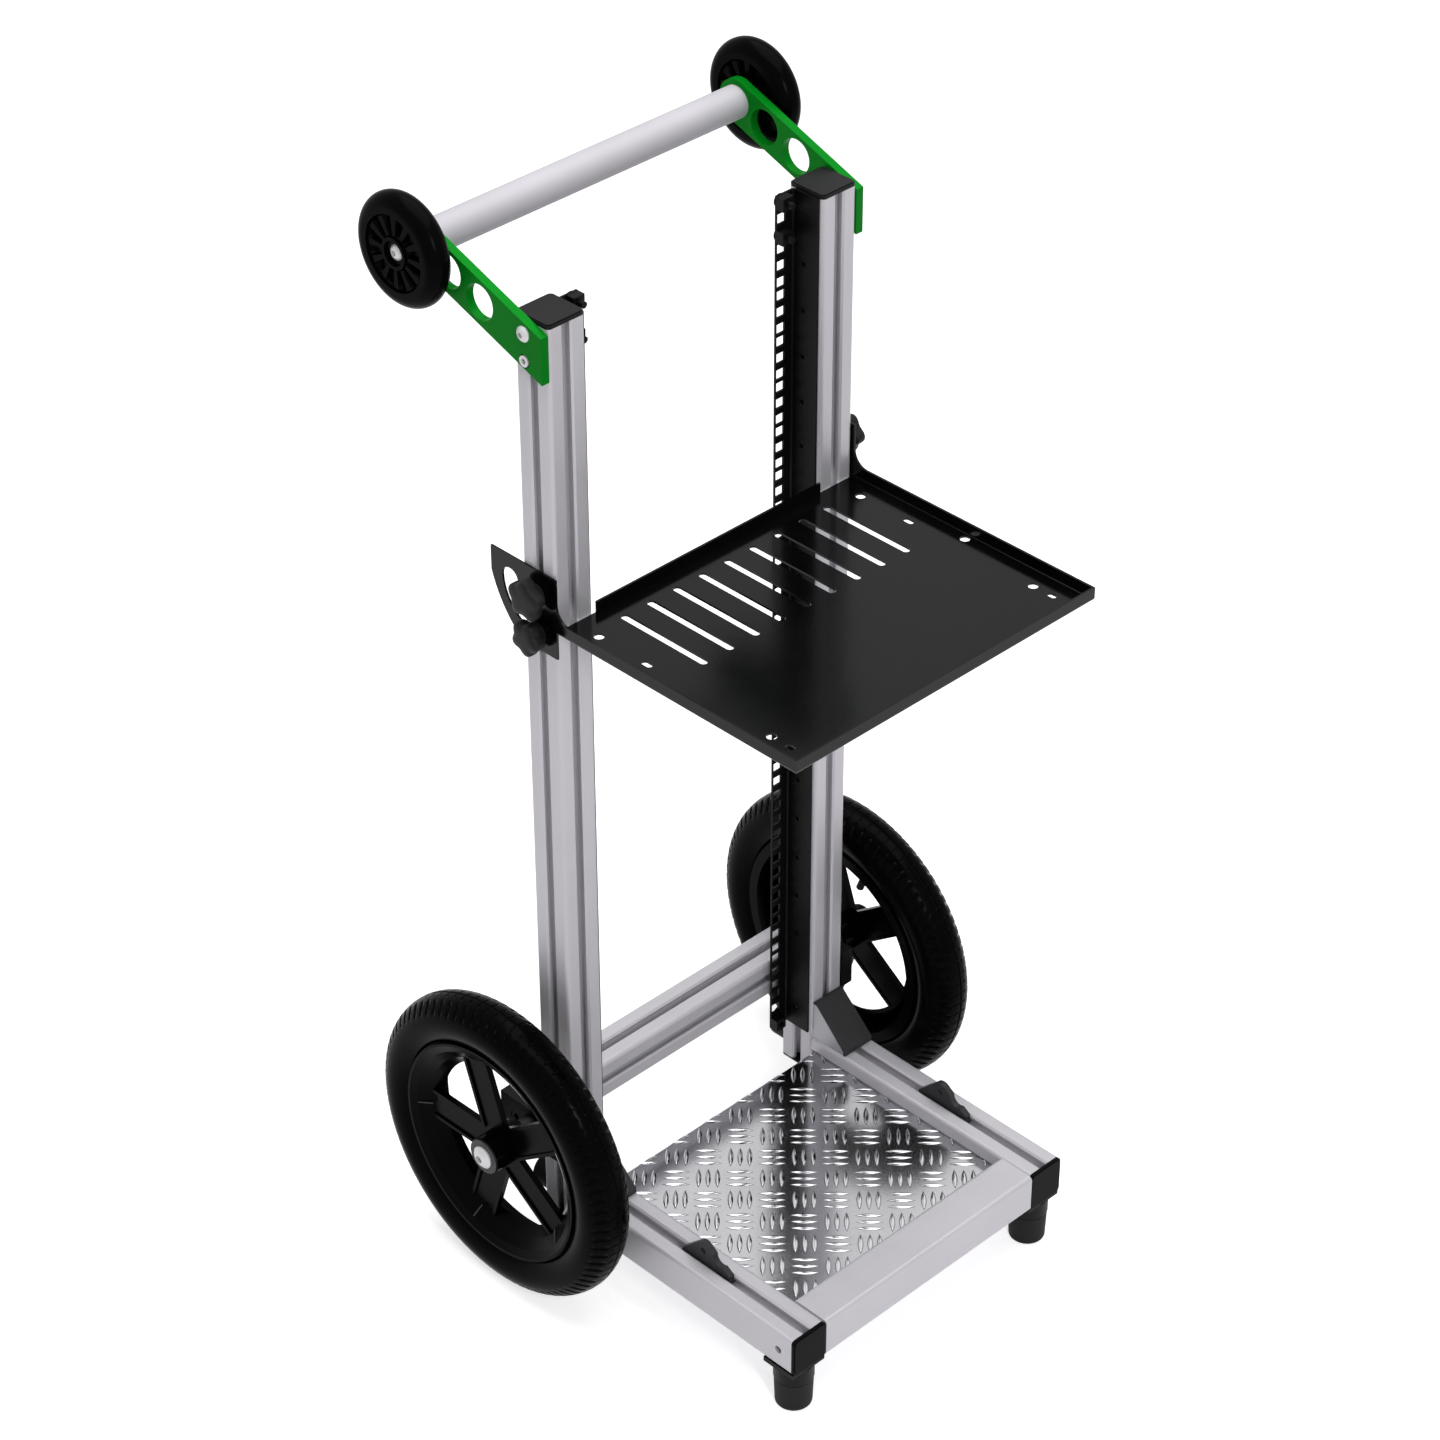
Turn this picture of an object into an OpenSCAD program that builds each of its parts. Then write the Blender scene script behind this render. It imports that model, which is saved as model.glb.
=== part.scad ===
// Upright sound cart: two slotted aluminium posts on a low platform frame, two
// large wheels, a handlebar with two small wheels, rack rails and a tilting tray.
// Millimetres. X runs along the axle, -Y is the platform side, Z is up, Z = 0 is
// the floor. Inside the modules Y = 0 is the posts' front face.

/* [Profiles] */
// Side of the square aluminium profile
profile = 40; // [38:1:48]
// Corner radius of the profile
profile_r = 4; // [2:0.5:5]
// Opening of the profile's T slots
slot_w = 8.2; // [8.2:0.1:9]
// Width of the bevelled mouth of each slot
slot_mouth_w = 12; // [10:0.5:14]
// Depth of the bevelled mouth
slot_mouth_d = 1.6; // [0.8:0.1:2.4]
// Thickness of the lips over each slot
slot_lip = 4.5; // [4:0.1:5.5]
// Width of the cavity under the lips
slot_cavity_w = 20; // [18:0.5:21]
// Depth of each slot from the face to its floor
slot_depth = 12.3; // [11:0.1:13]
// Bore in the middle of the profile, tapped at its ends
core_d = 8; // [7:0.1:9]
// Thickness of the plastic end caps
cap_t = 4; // [2:0.5:6]

/* [Frame] */
// Clear width between the two posts
inner_w = 268.8; // [256:0.4:320]
// Length of the posts
post_len = 934; // [800:1:1200]
// Length of the platform's side rails
rail_len = 278; // [240:1:400]
// Thickness of the chequered deck plate
deck_t = 3; // [2:0.5:4]
// How far the deck's edges reach into the slots
deck_bite = 8; // [5:0.5:10]
// Gap between the deck and the posts
deck_back_gap = 4; // [2:0.5:10]
// Running clearance between sheet edges and profiles
sheet_gap = 0.5; // [0.3:0.1:1]
// Bore through the side rail's outer wall for the hidden screw
access_d = 7.5; // [7:0.1:8]

/* [Platform fittings] */
// Leg length of the corner brackets
bracket_leg = 40; // [34:1:46]
// Width of the corner brackets
bracket_w = 36; // [32:1:38]
// Wall of the corner brackets
bracket_wall = 4; // [3:0.5:5]
// Thickness of the cover over each bracket
cover_t = 2.5; // [2:0.5:3]
// Distance of the tie-down eyes in front of the posts
eye_y = 151; // [120:1:180]
// Height of the tie-down eyes above the rails
eye_z = 13; // [12:0.5:16]
// Outer radius of the tie-down eyes
eye_r = 9.5; // [8:0.5:11]
// Hole in the tie-down eyes
eye_d = 6; // [5:0.5:8]
// Thickness of the tie-down lugs
lug_t = 6; // [5:0.5:7]
// Rear reach of a lug's foot from its eye
lug_back = 27; // [22:1:32]
// Front reach of a lug's foot from its eye
lug_front = 33; // [28:1:38]
// Height of a lug's toe
lug_toe = 2.5; // [2:0.5:4]

/* [Feet and bumpers] */
// Thickness of the plate over each foot
foot_plate_t = 5; // [4:0.5:8]
// Length of the plate over each foot
foot_plate_l = 36; // [30:1:38]
// Height of the hard collar of each foot
collar_h = 17; // [12:1:20]
// Diameter of the collar
collar_d = 37; // [32:1:39]
// Height of the rubber of each foot
rubber_h = 31; // [24:1:36]
// Diameter of the rubber at its top
rubber_d = 36; // [30:1:38]
// Diameter of the rubber at the floor
rubber_base_d = 34; // [28:1:36]
// Radius of the rubber's lower edge
rubber_edge = 3; // [1:0.5:5]
// Diameter of the rear bumpers
bumper_d = 34; // [28:1:38]
// Length of the rear bumpers
bumper_l = 21; // [16:1:30]

/* [Rack rails] */
// Height of one rack unit
rack_unit = 44.45;
// Number of rack units
rack_units = 20; // [14:1:20]
// Height of the outer square holes from the middle of a unit
rack_hole_step = 15.875;
// Side of the square holes
rack_hole = 9.5; // [9:0.1:10]
// Distance of the square holes' column from the flanges' free edge
rack_hole_in = 5.86; // [5.4:0.1:6.4]
// Width of the rack rails' rear flanges
rack_flange = 22; // [20:0.5:24]
// Sheet thickness of the rack rails
rack_t = 2; // [1.5:0.1:2.5]
// Inset of the rack rails' front edge from the posts' front face
rack_front = 3.8; // [3:0.1:6]
// Depth of a rack rail's side plate
rack_side_d = 30.7; // [28:0.1:34]
// Fixing hole in the side plate, one in each unit
rack_fix_d = 4.5; // [4:0.1:5]

/* [Big wheels] */
// Outer diameter of the tyres
wheel_d = 304; // [280:2:330]
// Width of the tyres
tyre_w = 48; // [40:1:52]
// Thickness of the tyre's wall
tyre_wall = 4.5; // [3:0.5:6]
// Width of the rim
rim_w = 40; // [38:1:44]
// Height of the rim's flanges above the well
rim_flange = 6; // [4:0.5:8]
// Thickness of the rim's walls
rim_wall = 4; // [3:0.5:5]
// Radial width of the dished ring between well and windows
rim_ring = 21; // [16:1:24]
// Number of spokes
spokes = 5; // [3:1:7]
// Width of each spoke
spoke_w = 32; // [24:1:36]
// Radius of the hub
hub_r = 18; // [17:0.5:22]
// Reach of the hub from the wheel's middle towards the cart
hub_in = 16; // [14:1:22]
// Reach of the hub from the wheel's middle outwards
hub_out = 24; // [18:1:28]
// Shank diameter of the axle bolts
axle_d = 12; // [10:1:12]
// Outer diameter of the hub bearings
bearing_d = 28; // [26:1:30]
// Width of the hub bearings
bearing_w = 8; // [7:1:10]
// Thickness of the axle plates
axle_plate_t = 14; // [12:1:20]
// Length of the spacer sleeves between plate and wheel
spacer_l = 15.3; // [14:0.1:24]
// Radial clearance of everything that turns on a shaft
turn_gap = 0.03; // [0.02:0.01:0.08]
// Gap between faces that turn past each other
face_gap = 0.3; // [0.2:0.1:0.6]

/* [Handlebar] */
// Height of the handlebar's axis above the posts' tops
bar_rise = 26.5; // [15:0.5:45]
// Distance of the handlebar's axis behind the posts' front face
bar_y = 143; // [120:1:170]
// Diameter of the handlebar's tube
bar_d = 30; // [25:1:34]
// Wall of the handlebar's tube
bar_wall = 1.5; // [1.5:0.5:3]
// Thickness of the handle plates
arm_t = 8; // [6:1:10]
// Width of the handle plates
arm_w = 40; // [36:1:44]
// Slope of the handle plates, in degrees
arm_slope = 20; // [12:1:24]
// Diameter of the holes along the handle plates
arm_hole_d = 32; // [24:1:34]
// Distance of the first hole from the bar's axis
arm_hole_1 = 36; // [34:1:40]
// Distance of the second hole from the bar's axis
arm_hole_2 = 76; // [74:1:80]
// Distance of the upper screw below the top of the posts
arm_screw_drop = 7.3; // [6.8:0.1:8]
// Distance between the two screws of a handle plate
arm_screw_pitch = 24.7; // [22:0.1:25]
// Diameter of the handle wheels
caster_d = 100; // [80:1:110]
// Width of the handle wheels
caster_w = 24; // [22:1:30]
// Gap between handle plate and handle wheel, filled by a spacer
caster_gap = 3.1; // [2:0.1:6]
// Outer diameter of the handle wheels' bearings
caster_bearing_d = 22; // [20:1:26]
// Width of the handle wheels' bearings
caster_bearing_w = 7; // [6:1:8]

/* [Tray] */
// Height of the tray's tilt axis, where it is clamped
tray_axis_z = 733.5; // [500:1:800]
// Distance of the tray's underside below the tilt axis
tray_drop = 31; // [28:0.5:40]
// Depth of the tray
tray_d = 277.5; // [240:0.5:320]
// Gap between the tray and the posts' front faces
tray_gap = 1.5; // [1:0.1:3]
// Gap between the tray's ears and the posts' sides
ear_gap = 0.5; // [0.3:0.1:1]
// Height of the tray's raised edges, over all
tray_h = 13; // [10:0.5:20]
// Sheet thickness of the tray
tray_t = 2; // [1.5:0.1:2.5]
// Outer radius of the tray's bends
tray_bend = 3; // [2.6:0.1:4]
// Spacing of the tray's vent slots
vent_pitch = 30; // [24:1:32]
// Number of vent slots
vents = 9; // [3:2:9]
// Length of the vent slots
vent_l = 100; // [60:1:120]
// Width of the vent slots
vent_w = 7.3; // [5:0.1:10]
// Distance of the vent slots from the tray's rear edge
vent_back = 19; // [14:1:30]
// Diameter of the tray's fixing holes
tray_hole_d = 9.2; // [8:0.1:10]
// Half the spacing of the fixing holes across the tray
tray_hole_x = 155; // [152:0.5:158]
// Spacing of the fixing holes along the tray
tray_hole_pitch = 200; // [180:1:210]
// Distance of the rear short slots in front of the rear holes
rear_slot_step = 57; // [50:1:64]
// Distance of the front short slots in front of the front holes
front_slot_step = 21; // [18:1:24]
// Distance of the rear fixing holes from the tray's rear edge
tray_hole_back = 28.5; // [24:0.5:34]
// Reach of the ears behind the tilt axis
ear_back = 56.5; // [52:0.5:62]
// Height of the ears above the tilt axis
ear_up = 22; // [16:0.5:30]
// Reach of the ears below the tilt axis
ear_down = 55.5; // [54:0.5:62]
// Radius of the fillet between ear and tray edge
ear_fillet = 15; // [8:1:18]
// Radius of the curved slot about the tilt axis
swing_r = 38.5; // [37:0.5:40]
// Width of the curved slot
swing_w = 8.6; // [8.4:0.1:9.4]
// Diameter of the hole at the curved slot's end
swing_hole_d = 19; // [16:0.5:20]
// Diameter of the tray's clamping studs
stud_d = 8; // [7:0.5:8]
// Radial clearance of the studs in the ears and knobs
stud_gap = 0.05; // [0.02:0.01:0.1]
// Diameter of the upper star knobs
knob_upper_d = 38; // [30:1:42]
// Diameter of the lower star knobs
knob_lower_d = 33; // [26:1:36]
// Number of lobes on each knob
knob_lobes = 5; // [3:1:7]
// Radius of each lobe
knob_lobe_r = 5; // [4:0.5:6]
// Thickness of the lobed part of each knob
knob_t = 14; // [10:1:18]
// Diameter of the collar under each knob
knob_hub_d = 20; // [16:1:22]
// Height of the collar under each knob
knob_hub_h = 4.5; // [3:0.5:7]

/* [Hidden] */

$fn = 72;
cut = 1;

// Turns that point a fitting's own Z out of a face and lay its Y along the slot
OUT_FRONT = [90, 0, 0];
OUT_REAR = [90, 0, 180];
OUT_RIGHT = [90, 0, 90];
OUT_LEFT = [90, 0, -90];
OUT_INWARD = [0, -90, 0];
OUT_DOWN = [180, 0, 0];
LEFT = -1;
RIGHT = 1;

half = profile / 2;
post_x = inner_w / 2 + half;
post_out = inner_w / 2 + profile;
base_z = foot_plate_t + collar_h + rubber_h;
rail_top = base_z + profile;
post_top = base_z + post_len;
bar_z = post_top + bar_rise;
axle_z = wheel_d / 2;
axle_y = profile;
bar_front_y = -(rail_len + cap_t);
crossbar_y = bar_front_y + half;
rail_mid_z = base_z + half;
deck_top = rail_mid_z + slot_w / 2;

// The origin lies under the middle of the whole cart
cart_front = bar_front_y;
cart_back = max(axle_y + wheel_d / 2, bar_y + caster_d / 2);
cart_mid = (cart_front + cart_back) / 2;

plate_out = post_out + axle_plate_t;
wheel_x = plate_out + spacer_l + face_gap + hub_in;
washer_t = 2;
washer_d = 34;
axle_head_d = 22;
axle_head_h = 6;
hub_end = wheel_x + hub_out;
well_r = wheel_d / 2 - tyre_w;
bead_h = 8;
bead_w = 6;

arm_out = post_out + arm_t;
caster_x = arm_out + caster_gap + caster_w / 2;
caster_recess = 5.1;
m8_head_d = 14;
m8_head_h = 4.4;
m8_d = 8;
m6_d = 6;
m6_head_d = 10;
m6_head_h = 6;
m4_d = 4;
hole_gap = 0.1;
thread_gap = 0.01;
arm_screw_z = post_top - arm_screw_drop;
arm_lock_z = arm_screw_z - arm_screw_pitch;
plug_l = 25;

valve_turn = 111;
valve_d = 8;
valve_at = -10.5;

nut_l = 13;
nut_w = slot_cavity_w - 1;
nut_h = 5;
nut_neck = 3;

rack_mid = inner_w / 2 - rack_flange;
rack_hole_x = rack_mid + rack_hole_in;
rack_side = inner_w / 2 - rack_t;
rack_back = rack_front + rack_side_d;
rack_len = rack_units * rack_unit;
rack_bottom = post_top - rack_len;
rack_screw_units = [0, 6, 12, 18];

tray_z = tray_axis_z - tray_drop;
tray_back = -tray_gap;
tray_front = tray_back - tray_d;
ear_in = post_out + ear_gap;
ear_out = ear_in + tray_t;
ear_front = tray_back - 1;
tray_side = ear_out;
lower_z = tray_axis_z - swing_r;
knob_x = ear_out + face_gap;
stud_len = ear_gap + tray_t + face_gap + knob_hub_h + knob_t - 3;

// Places what is drawn from the posts' front face in the cart's own frame
module cart() { translate([0, -cart_mid, 0]) children(); }

// The right half's piece, or its mirror image on the left
module side(s) { mirror([s < 0 ? 1 : 0, 0, 0]) children(); }

module both() { for (s = [LEFT, RIGHT]) side(s) children(); }

// Extrudes an outline drawn in Y and Z along X
module along_x(x, t) { translate([x, 0, 0]) rotate(OUT_RIGHT) linear_extrude(t) children(); }

// Rounded square outline
module soft_square(w, r) {
    square([w, w - 2 * r], center = true);
    square([w - 2 * r, w], center = true);
    for (x = [-1, 1], y = [-1, 1]) translate([x, y] * (w / 2 - r)) circle(r);
}

// One T slot, opening upwards at the top face of the profile
module slot_cut() {
    lip = half - slot_lip;
    floor_w = slot_cavity_w / 2;
    polygon([
        [-slot_mouth_w / 2, half + cut], [-slot_mouth_w / 2, half], [-slot_w / 2, half - slot_mouth_d],
        [-slot_w / 2, lip], [-slot_cavity_w / 2, lip], [-slot_cavity_w / 2, lip - 2],
        [-floor_w / 2, half - slot_depth], [floor_w / 2, half - slot_depth],
        [slot_cavity_w / 2, lip - 2], [slot_cavity_w / 2, lip], [slot_w / 2, lip],
        [slot_w / 2, half - slot_mouth_d], [slot_mouth_w / 2, half], [slot_mouth_w / 2, half + cut]
    ]);
}

// Profile section with slots at the given turns
module section(turns) {
    difference() {
        soft_square(profile, profile_r);
        circle(d = core_d);
        for (a = turns) rotate(a) slot_cut();
    }
}

// Plastic cap on a profile's end, with its edge rounded like the profile
module end_cap(t) {
    chamfer = 1;
    linear_extrude(t - chamfer) soft_square(profile, profile_r);
    translate([0, 0, t - chamfer]) linear_extrude(chamfer) soft_square(profile - 2 * chamfer, profile_r);
}

// Screws and bolts: head above the origin, shank below it
module hex_socket(af, depth, top) {
    translate([0, 0, top - depth]) cylinder(h = depth + cut, d = af / cos(30), $fn = 6);
}

module button_screw(d, len, head_d, head_h) {
    rim_h = 0.25 * head_h;
    dome = head_h - rim_h;
    dome_r = (pow(head_d / 2, 2) + dome * dome) / (2 * dome);
    difference() {
        rotate_extrude() intersection() {
            square([head_d / 2, head_h]);
            translate([0, head_h - dome_r]) circle(dome_r);
        }
        hex_socket(0.6 * d, 0.6 * head_h, head_h);
    }
    translate([0, 0, -len]) cylinder(h = len, d = d);
}

module cap_screw(d, len, head_d, head_h) {
    difference() {
        cylinder(h = head_h, d = head_d);
        hex_socket(0.8 * d, 0.5 * head_h, head_h);
    }
    translate([0, 0, -len]) cylinder(h = len, d = d);
}

// Slot nut, its origin on the profile's face above it
module slot_nut(d) {
    difference() {
        union() {
            translate([-nut_w / 2, -nut_l / 2, -slot_lip - nut_h]) cube([nut_w, nut_l, nut_h]);
            neck_w = slot_w - 0.4;
            translate([-neck_w / 2, -nut_l / 2, -slot_lip - cut]) cube([neck_w, nut_l, nut_neck + cut]);
        }
        translate([0, 0, -slot_lip - nut_h - cut]) cylinder(h = nut_h + slot_lip + cut, d = d + 2 * thread_gap);
        corner = nut_w / 2;
        for (s = [-1, 1]) translate([s * corner, 0, -slot_lip - nut_h]) rotate([0, 45, 0])
            cube([6.8, nut_l + cut, 6.8], center = true);
    }
}

module post(s) {
    color("#B4B2B7") cart() side(s) translate([post_x, half, base_z])
        linear_extrude(post_len) section([0, 90, 180, 270]);
}

module post_top_caps() {
    color("#222224") cart() both() translate([post_x, half, post_top]) end_cap(cap_t);
}

module post_bottom_caps() {
    color("#222224") cart() both() translate([post_x, half, base_z]) rotate(OUT_DOWN) end_cap(3);
}

// Open slots on the top, the inner side and the underside; the outer side is plain
module side_rail(s) {
    color("#B4B2B7") cart() side(s) difference() {
        translate([post_x, 0, rail_mid_z]) rotate([90, 0, 0]) linear_extrude(rail_len) section([0, 90, 180]);
        translate([post_x, crossbar_y, rail_mid_z]) rotate([0, 90, 0]) cylinder(h = profile, d = access_d);
        translate([post_x - half, crossbar_y, rail_mid_z]) rotate([0, 90, 0]) cylinder(h = half, d = m8_d + hole_gap);
    }
}

module rail_end_caps() {
    color("#222224") cart() both() translate([post_x, -rail_len, rail_mid_z]) rotate(OUT_FRONT) end_cap(cap_t);
}

module front_crossbar() {
    color("#BDBBC0") cart() translate([-inner_w / 2, crossbar_y, rail_mid_z]) rotate(OUT_RIGHT)
        linear_extrude(inner_w) section([-90, 180]);
}

// Button heads lie in the side rails' inner slots and screw into the crossbar's core
module crossbar_screws() {
    head_x = inner_w / 2 + slot_lip;
    color("#A8A8AC") cart() both() translate([head_x, crossbar_y, rail_mid_z]) rotate([0, 90, 0])
        button_screw(core_d - 2 * thread_gap, 25, m8_head_d, m8_head_h);
}

module deck_plate() {
    back = -deck_back_gap;
    edge = inner_w / 2 + deck_bite;
    front = crossbar_y + half;
    tongue = inner_w / 2 - sheet_gap;
    color("#9A9C9E") cart() translate([0, 0, deck_top - deck_t]) linear_extrude(deck_t) union() {
        translate([-edge, front + sheet_gap]) square([2 * edge, back - front - sheet_gap]);
        translate([-tongue, front - deck_bite]) square([2 * tongue, deck_bite + cut]);
    }
}

// Rubber strips that fill the slots under the deck's side edges
module deck_gaskets() {
    gap_h = slot_w - deck_t;
    back = -deck_back_gap;
    front = crossbar_y + half + sheet_gap;
    color("#1A1A1A") cart() both() translate([inner_w / 2, front, rail_mid_z - slot_w / 2])
        cube([slot_lip, back - front, gap_h]);
}

module cross_rail() {
    color("#B4B2B7") cart() translate([-post_out, profile + half, axle_z]) rotate(OUT_RIGHT)
        linear_extrude(2 * post_out) section([0, 90, 180, 270]);
}

module axle_plate(s) {
    screw_bore = m8_d + hole_gap;
    color("#1C1C1E") cart() side(s) difference() {
        translate([post_out, 0, axle_z - half]) cube([axle_plate_t, 2 * profile, profile]);
        translate([post_out - cut, axle_y, axle_z]) rotate([0, 90, 0])
            cylinder(h = axle_plate_t + 2 * cut, d = axle_d + 2 * thread_gap);
        for (y = [half, profile + half]) translate([post_out - cut, y, axle_z]) rotate([0, 90, 0]) {
            cylinder(h = axle_plate_t + 2 * cut, d = screw_bore);
            translate([0, 0, cut + axle_plate_t / 2]) cylinder(h = axle_plate_t, d = m8_head_d);
        }
    }
}

module axle_plate_screws() {
    seat = post_out + axle_plate_t / 2;
    head_h = axle_plate_t / 2 - 0.5;
    color("#2A2A2C") cart() both() {
        translate([seat, half, axle_z]) rotate([0, 90, 0])
            cap_screw(m8_d, axle_plate_t / 2 + slot_lip + nut_h, m8_head_d - 1, head_h);
        translate([seat, profile + half, axle_z]) rotate([0, 90, 0])
            cap_screw(core_d - 2 * thread_gap, axle_plate_t / 2 + 20, m8_head_d - 1, head_h);
    }
}

// Cast corner bracket between a post's front face and a side rail's top face
module corner_bracket(s) {
    screw_at = bracket_leg * 0.55;
    x0 = post_x - bracket_w / 2;
    color("#9C9CA0") cart() side(s) difference() {
        union() {
            along_x(x0, bracket_w) polygon([
                [0, rail_top], [-bracket_leg, rail_top], [-bracket_leg, rail_top + bracket_wall],
                [-bracket_wall, rail_top + bracket_wall], [-bracket_wall, rail_top + bracket_leg],
                [0, rail_top + bracket_leg]
            ]);
            for (x = [x0, x0 + bracket_w - bracket_wall]) along_x(x, bracket_wall)
                polygon([[0, rail_top], [-bracket_leg, rail_top], [-bracket_leg, rail_top + bracket_wall],
                    [-bracket_wall, rail_top + bracket_leg], [0, rail_top + bracket_leg]]);
        }
        translate([post_x, cut, rail_top + screw_at]) rotate(OUT_FRONT)
            cylinder(h = bracket_wall + 2 * cut, d = m8_d + hole_gap);
        translate([post_x, -screw_at, rail_top - cut])
            cylinder(h = bracket_wall + 2 * cut, d = m8_d + hole_gap);
    }
}

// Plastic cover snapped over each bracket's open slope
module bracket_covers() {
    top = rail_top + bracket_leg;
    low = rail_top + bracket_wall;
    lift = cover_t * sqrt(2);
    color("#333335") cart() both() along_x(post_x - bracket_w / 2, bracket_w) polygon([
        [0, top], [-bracket_wall, top], [-bracket_leg, low], [-bracket_leg, rail_top],
        [-bracket_leg - cover_t, rail_top], [-bracket_leg - cover_t, low + lift / 2],
        [-bracket_wall, top + lift / 2], [0, top + lift / 2]
    ]);
}

module bracket_screws() {
    screw_at = bracket_leg * 0.55;
    len = bracket_wall + slot_lip + nut_h;
    color("#A8A8AC") cart() both() {
        translate([post_x, -bracket_wall, rail_top + screw_at]) rotate(OUT_FRONT)
            button_screw(m8_d, len, m8_head_d, m8_head_h);
        translate([post_x, -screw_at, rail_top + bracket_wall])
            button_screw(m8_d, len, m8_head_d, m8_head_h);
    }
}

// Point where a line from p touches the circle about c, on the given side
function touch(p, c, r, s) = let (
    d = norm(p - c),
    a = atan2(p[1] - c[1], p[0] - c[0]) + s * acos(r / d)
) c + r * [cos(a), sin(a)];

// Tie-down lug: an eye on a long foot, with a tongue and a T foot in the rail's slot
module tie_down_lugs() {
    heel = [lug_back, 0];
    toe = [-lug_front, lug_toe];
    c = [0, eye_z];
    foot_w = nut_w;
    foot_l = lug_back + lug_front;
    color("#3A3A3D") cart() both() difference() {
        union() {
            along_x(post_x - lug_t / 2, lug_t) translate([-eye_y, rail_top]) {
                translate(c) circle(eye_r);
                side_r = eye_r - 0.3;
                polygon([heel, touch(heel, c, side_r, 1), c, touch(toe, c, side_r, -1), toe, [-lug_front, 0]]);
                translate([-lug_front, -slot_lip - cut]) square([foot_l, slot_lip + cut]);
            }
            translate([post_x - foot_w / 2, -eye_y - lug_front, rail_top - slot_lip - nut_neck])
                cube([foot_w, foot_l, nut_neck]);
        }
        translate([post_x - lug_t, -eye_y, rail_top + eye_z]) rotate([0, 90, 0])
            cylinder(h = 2 * lug_t, d = eye_d);
        translate([0, -eye_y - lug_front * 0.62, rail_top + eye_z + 1.6]) rotate([0, 90, 0])
            cylinder(h = post_out + cut, r = 8);
    }
}

module foot_plates() {
    color("#1C1C1E") cart() both() difference() {
        translate([post_x - half, crossbar_y - foot_plate_l / 2, base_z - foot_plate_t])
            cube([profile, foot_plate_l, foot_plate_t]);
        translate([post_x, crossbar_y, base_z - foot_plate_t - cut])
            cylinder(h = foot_plate_t + 2 * cut, d = m8_d + hole_gap);
    }
}

module foot_collars() {
    groove = 1;
    color("#262628") cart() both() translate([post_x, crossbar_y, 0]) rotate_extrude() polygon([
        [(m8_d + hole_gap) / 2, rubber_h], [collar_d / 2 - groove, rubber_h],
        [collar_d / 2 - groove, rubber_h + groove], [collar_d / 2, rubber_h + groove],
        [collar_d / 2, rubber_h + collar_h], [(m8_d + hole_gap) / 2, rubber_h + collar_h]
    ]);
}

foot_recess_h = 14;
foot_recess_d = 17;

module foot_rubbers() {
    color("#303032") cart() both() translate([post_x, crossbar_y, 0]) rotate_extrude() difference() {
        union() {
            polygon([[0, rubber_edge], [rubber_base_d / 2, rubber_edge], [rubber_d / 2, rubber_h], [0, rubber_h]]);
            square([rubber_base_d / 2 - rubber_edge, rubber_edge + cut]);
            translate([rubber_base_d / 2 - rubber_edge, rubber_edge]) circle(rubber_edge);
        }
        square([(m8_d + hole_gap) / 2, rubber_h + cut]);
        square([foot_recess_d / 2, foot_recess_h]);
    }
}

module foot_screws() {
    len = base_z - foot_recess_h + slot_lip + nut_h;
    color("#A8A8AC") cart() both() translate([post_x, crossbar_y, foot_recess_h]) rotate(OUT_DOWN)
        cap_screw(m8_d, len, m8_head_d - 1, m8_d);
}

module rear_bumpers() {
    edge = 3;
    color("#1A1A1A") cart() both() translate([post_x, profile, rail_mid_z]) rotate(OUT_REAR)
        rotate_extrude() difference() {
            union() {
                square([bumper_d / 2, bumper_l - edge]);
                square([bumper_d / 2 - edge, bumper_l]);
                translate([bumper_d / 2 - edge, bumper_l - edge]) circle(edge);
            }
            square([(m8_d + hole_gap) / 2, bumper_l + cut]);
            translate([0, bumper_l / 2]) square([m8_head_d / 2, bumper_l]);
        }
}

module bumper_screws() {
    color("#A8A8AC") cart() both() translate([post_x, profile + bumper_l / 2, rail_mid_z]) rotate(OUT_REAR)
        cap_screw(m8_d, bumper_l / 2 + slot_lip + nut_h, m8_head_d - 1, m8_d);
}

// Height of the middle of a rack unit, counted from the top
function unit_z(k) = post_top - (k + 0.5) * rack_unit;

// Angle strip: side plate against the post, flange with square holes behind
module rack_rail(s) {
    bend = 2 * rack_t;
    color("#161618") cart() side(s) difference() {
        translate([0, 0, rack_bottom]) linear_extrude(rack_len) union() {
            translate([rack_side, rack_front]) square([rack_t, rack_side_d - bend]);
            translate([rack_mid, rack_back - rack_t]) square([rack_side + rack_t - bend - rack_mid, rack_t]);
            intersection() {
                translate([rack_side + rack_t - bend, rack_back - bend]) difference() {
                    circle(bend);
                    circle(bend - rack_t);
                }
                translate([rack_side + rack_t - bend, rack_back - bend]) square(bend);
            }
        }
        for (k = [0:rack_units - 1]) {
            for (j = [-1:1]) translate([rack_hole_x, rack_back - rack_t / 2, unit_z(k) + j * rack_hole_step])
                cube([rack_hole, 2 * rack_t, rack_hole], center = true);
            translate([rack_side - cut, half, unit_z(k)]) rotate([0, 90, 0])
                cylinder(h = rack_t + 2 * cut, d = rack_fix_d);
        }
        for (k = rack_screw_units) translate([rack_side, half, unit_z(k)]) rotate([0, 90, 0])
            cylinder(h = rack_t, d1 = rack_fix_d + 2 * rack_t, d2 = rack_fix_d);
    }
}

// Countersunk screws that hold the rack rails in the posts' inner slots
module rack_rail_screws() {
    shank = rack_t + slot_lip + nut_h;
    color("#B8B8BC") cart() both() for (k = rack_screw_units)
        translate([rack_side, half, unit_z(k)]) rotate([0, 90, 0]) {
            cylinder(h = rack_t, d1 = m4_d + 2 * rack_t, d2 = m4_d);
            cylinder(h = shank, d = m4_d);
        }
}

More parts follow.
